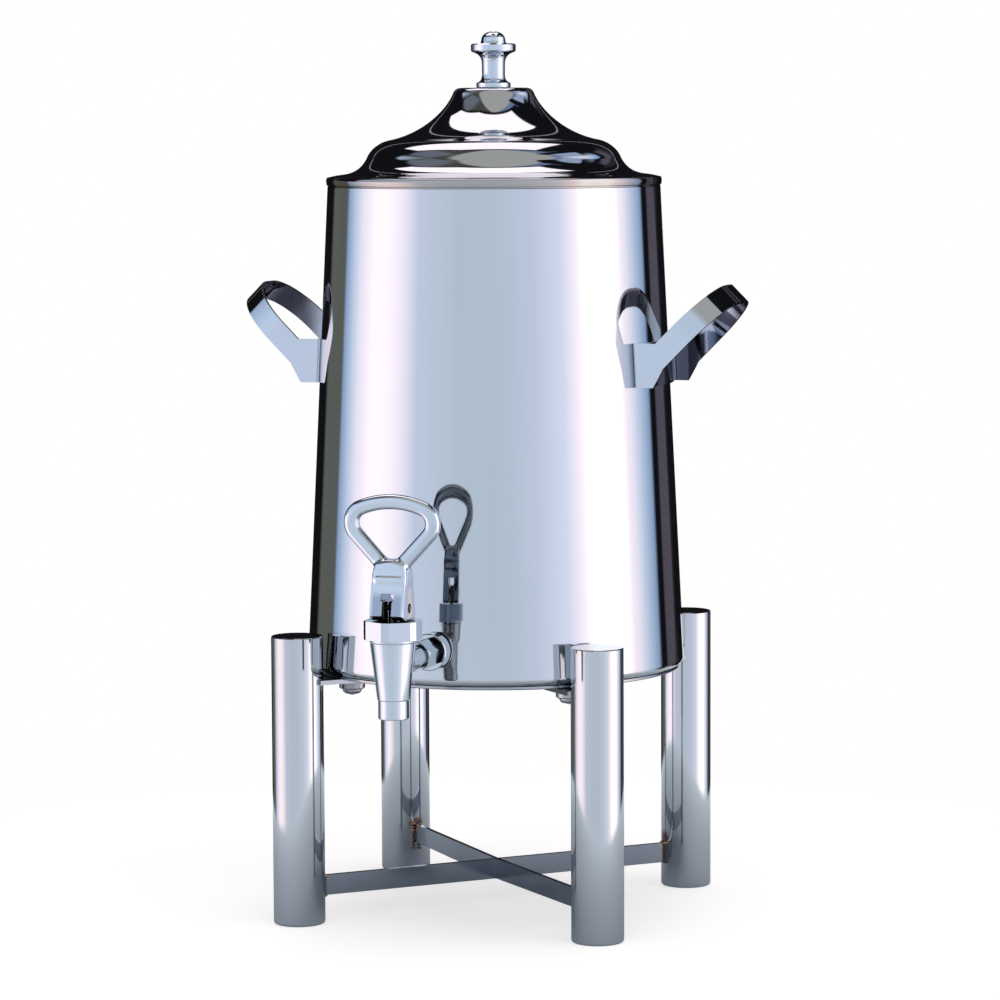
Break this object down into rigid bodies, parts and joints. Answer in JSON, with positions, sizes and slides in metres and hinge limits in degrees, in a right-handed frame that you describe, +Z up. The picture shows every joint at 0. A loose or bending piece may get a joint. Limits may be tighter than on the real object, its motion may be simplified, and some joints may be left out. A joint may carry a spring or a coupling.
{
  "type": "coffee urn",
  "caption": "Insulated beverage urn on a tubular stand: tapered tank, lift-off bell lid with knob, loop side handles and a lever faucet with a cam-lifted valve.",
  "frame": {"origin": "on the floor, on the tank's axis, in the middle of the four feet", "axes": "+Z up along the tank's axis; -Y towards the faucet; +X to the right handle seen from the faucet's side"},
  "size_m": [0.3524, 0.3555, 0.6008],
  "materials": {
    "polished_steel": "mirror polished stainless steel",
    "brushed_steel": "satin stainless steel",
    "fastener_steel": "plain",
    "chrome": "bright chrome plate",
    "brass": "turned",
    "rubber": "matt",
    "silicone": "matt silicone",
    "foam": "insulating foam"
  },
  "bodies": {
    "urn": {"outer_shell": "polished_steel", "inner_liner": "brushed_steel", "insulation_jacket": "foam", "insulation_pad": "foam", "base_plate": "brushed_steel", "mouth_ring": "polished_steel", "left_handle": "polished_steel", "right_handle": "polished_steel", "leg_front_left": "polished_steel", "leg_front_right": "polished_steel", "leg_back_left": "polished_steel", "leg_back_right": "polished_steel", "leg_cap_front_left": "polished_steel", "leg_cap_front_right": "polished_steel", "leg_cap_back_left": "polished_steel", "leg_cap_back_right": "polished_steel", "leg_glide_front_left": "polished_steel", "leg_glide_front_right": "polished_steel", "leg_glide_back_left": "polished_steel", "leg_glide_back_right": "polished_steel", "ear_front_left": "brushed_steel", "ear_front_right": "brushed_steel", "ear_back_left": "brushed_steel", "ear_back_right": "brushed_steel", "stand_studs": "fastener_steel", "stand_washers": "fastener_steel", "stand_cap_nuts": "fastener_steel", "brace_bar_long": "brushed_steel", "brace_bar_front": "brushed_steel", "brace_bar_back": "brushed_steel", "shank": "chrome", "shank_spacer": "brass", "shank_outer_gasket": "rubber", "shank_inner_gasket": "rubber", "shank_lock_nut": "brass", "coupling_nut": "chrome", "faucet_body": "chrome", "bonnet": "chrome", "valve_spring": "fastener_steel"},
    "lid": {"lid_shell": "polished_steel", "lid_pan": "brushed_steel", "lid_insulation": "foam", "lid_gasket": "silicone", "knob": "chrome", "knob_screw": "fastener_steel", "knob_washer": "fastener_steel"},
    "stem": {"valve_stem": "brass", "stem_collar": "brass", "seat_cup": "silicone"},
    "handle": {"faucet_handle": "chrome", "handle_pin": "brass"}
  },
  "joints": [
    {"name": "lid_lift", "type": "slide", "parent": "urn", "child": "lid", "axis": [0, 0, 1], "range_m": [0, 0.15]},
    {"name": "stem_lift", "type": "slide", "parent": "urn", "child": "stem", "axis": [0, 0, 1], "range_m": [0, 0.0048], "deforming": ["valve_spring"]},
    {"name": "handle_tilt", "type": "hinge", "parent": "stem", "child": "handle", "pos_m": [0, -0.206, 0.2299], "axis": [1, 0, 0], "range_deg": [0, 45], "stiffness_Nm_per_rad": 0.25, "springref_deg": -28.65}
  ],
  "couplings": [
    {"joint": "stem_lift", "follows": "handle_tilt", "m_per_rad": 0.006}
  ]
}
